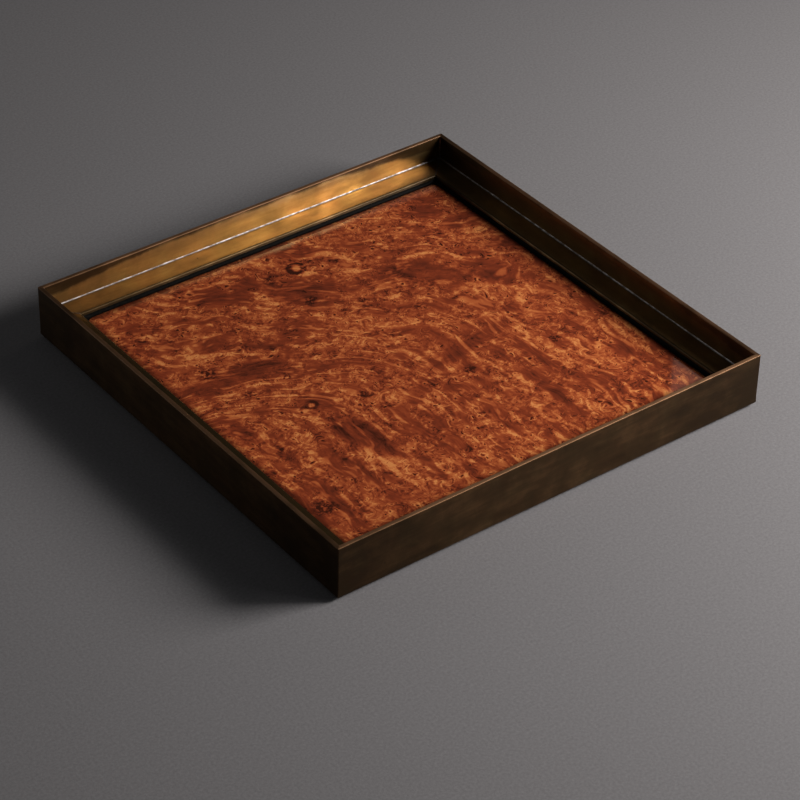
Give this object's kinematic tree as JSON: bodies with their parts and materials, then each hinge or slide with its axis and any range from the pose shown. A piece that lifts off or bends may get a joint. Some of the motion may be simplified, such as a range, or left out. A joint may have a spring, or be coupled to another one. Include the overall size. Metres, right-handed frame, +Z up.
{
  "type": "serving tray",
  "caption": "Square brass serving tray with upright walls, a stepped inner ledge and a glossy burl-veneered floor.",
  "frame": {"origin": "centre of the footprint, on the surface that the foot pads rest on", "axes": "+Z up through the open top; -Y is the front wall and +X is the right wall"},
  "size_m": [0.4, 0.4, 0.048],
  "materials": {
    "aged_brass": "brushed and darkened by age",
    "solder": "soft silver solder, wiped",
    "corner_solder": "darkened silver solder",
    "core_wood": "raw board",
    "burl": "high-gloss lacquer",
    "backing_wood": "dark stained, satin",
    "sealant": "semi-gloss black",
    "screw_brass": "satin",
    "felt": "dense felt"
  },
  "bodies": {
    "root": {"wall_front": "aged_brass", "wall_right": "aged_brass", "wall_rear": "aged_brass", "wall_left": "aged_brass", "ledge_front": "aged_brass", "ledge_right": "aged_brass", "ledge_rear": "aged_brass", "ledge_left": "aged_brass", "solder_front": "solder", "solder_right": "solder", "solder_rear": "solder", "solder_left": "solder", "corner_solder": "corner_solder", "core_board": "core_wood", "burl_veneer": "burl", "backing_veneer": "backing_wood", "edge_sealant": "sealant", "panel_screws": "screw_brass", "foot_pad_front_left": "felt", "foot_pad_front_right": "felt", "foot_pad_rear_right": "felt", "foot_pad_rear_left": "felt"}
  },
  "joints": []
}
